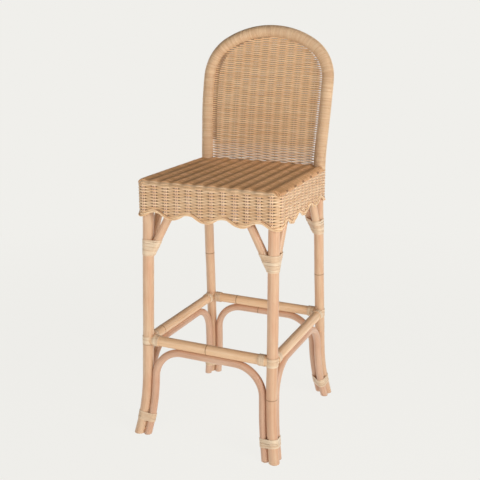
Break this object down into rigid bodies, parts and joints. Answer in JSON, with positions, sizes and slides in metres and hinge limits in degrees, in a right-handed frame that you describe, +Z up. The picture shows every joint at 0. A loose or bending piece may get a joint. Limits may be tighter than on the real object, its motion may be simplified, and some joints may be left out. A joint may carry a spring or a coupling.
{
  "type": "bar stool",
  "caption": "Rattan bar stool with a hooped woven back, woven seat with scalloped skirt, braced pole legs, square footrest and bent lower arches.",
  "frame": {"origin": "middle of the bounding box, on the floor", "axes": "+Z up; -Y is the front that the sitter faces; +X is to the right of someone looking at the front"},
  "size_m": [0.4564, 0.5074, 1.1574],
  "materials": {
    "rattan_pole": "peeled rattan pole with node rings, clear satin lacquer",
    "rattan_peel": "strips of rattan peel, wound wet and pulled tight, satin",
    "woven_reed": "round rattan core woven over and under, clear satin lacquer",
    "reed_stake": "round rattan core stakes, satin",
    "reed_border": "rolled rattan core border, satin",
    "reed_wrap": "rattan core wound closely round the hoop, satin",
    "steel": "zinc-plated screws and nails"
  },
  "bodies": {
    "root": {"ankle_binding_back_left": "rattan_peel", "ankle_binding_back_right": "rattan_peel", "ankle_binding_front_left": "rattan_peel", "ankle_binding_front_right": "rattan_peel", "arch_screws": "steel", "back_frame_pole": "rattan_pole", "back_stakes": "reed_stake", "back_weave": "woven_reed", "brace_back_left_across": "rattan_pole", "brace_back_left_along": "rattan_pole", "brace_back_right_across": "rattan_pole", "brace_back_right_along": "rattan_pole", "brace_binding_back_left": "rattan_peel", "brace_binding_back_right": "rattan_peel", "brace_binding_front_left": "rattan_peel", "brace_binding_front_right": "rattan_peel", "brace_front_left_across": "rattan_pole", "brace_front_left_along": "rattan_pole", "brace_front_right_across": "rattan_pole", "brace_front_right_along": "rattan_pole", "brace_screws": "steel", "footrest_binding_back_left": "rattan_peel", "footrest_binding_back_right": "rattan_peel", "footrest_binding_front_left": "rattan_peel", "footrest_binding_front_right": "rattan_peel", "footrest_rail_back": "rattan_pole", "footrest_rail_front": "rattan_pole", "footrest_rail_left": "rattan_pole", "footrest_rail_right": "rattan_pole", "front_leg_left": "rattan_pole", "front_leg_right": "rattan_pole", "hoop_wrap": "reed_wrap", "lower_arch_back": "rattan_pole", "lower_arch_front": "rattan_pole", "lower_arch_left": "rattan_pole", "lower_arch_right": "rattan_pole", "rail_screws": "steel", "seat_cane_1": "rattan_pole", "seat_cane_2": "rattan_pole", "seat_cane_3": "rattan_pole", "seat_cane_4": "rattan_pole", "seat_cane_nails": "steel", "seat_rail_back": "rattan_pole", "seat_rail_front": "rattan_pole", "seat_rail_left": "rattan_pole", "seat_rail_right": "rattan_pole", "seat_rail_screws": "steel", "seat_stakes": "reed_stake", "seat_weave": "woven_reed", "skirt_border": "reed_border", "skirt_stakes": "reed_stake", "skirt_weave": "woven_reed"}
  },
  "joints": []
}
